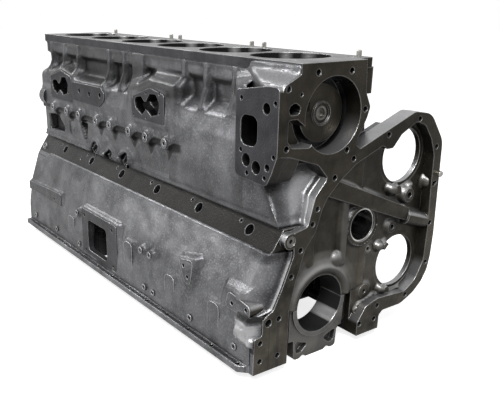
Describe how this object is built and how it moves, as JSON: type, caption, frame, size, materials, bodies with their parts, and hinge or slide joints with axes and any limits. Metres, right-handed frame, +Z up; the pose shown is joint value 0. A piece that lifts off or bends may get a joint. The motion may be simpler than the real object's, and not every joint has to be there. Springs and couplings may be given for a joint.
{
  "type": "engine block",
  "caption": "Bare cast-iron cylinder block of a heavy in-line diesel engine with gear case, pump volute, main caps, cam bushings, dowels and plugs",
  "frame": {"origin": "bottom centre of the bounding box, under the main bearing caps", "axes": "+X along the crankshaft to the gear-case end, +Y across to the camshaft side, +Z up to the deck"},
  "size_m": [1.001, 0.4619, 0.536],
  "materials": {
    "cast_iron": "rough",
    "cap_iron": "satin",
    "bolt_steel": "satin",
    "pin_steel": "satin",
    "bushing_steel": "satin",
    "plug_steel": "satin"
  },
  "bodies": {
    "root": {"cylinder_block": "cast_iron", "main_cap_bolts": "bolt_steel", "main_cap_washers": "bolt_steel", "deck_dowels": "pin_steel", "front_dowel": "pin_steel", "rear_dowels": "pin_steel", "gallery_plug_front": "plug_steel", "gallery_plug_rear": "plug_steel", "cam_gallery_plug": "plug_steel", "core_plugs": "plug_steel", "cam_rear_plug": "plug_steel", "pump_shaft_cup": "plug_steel", "main_cap_1": "cap_iron", "cam_bushing_1": "bushing_steel", "main_cap_2": "cap_iron", "cam_bushing_2": "bushing_steel", "main_cap_3": "cap_iron", "cam_bushing_3": "bushing_steel", "main_cap_4": "cap_iron", "cam_bushing_4": "bushing_steel", "main_cap_5": "cap_iron", "cam_bushing_5": "bushing_steel", "main_cap_6": "cap_iron", "cam_bushing_6": "bushing_steel", "main_cap_7": "cap_iron", "cam_bushing_7": "bushing_steel"}
  },
  "joints": []
}
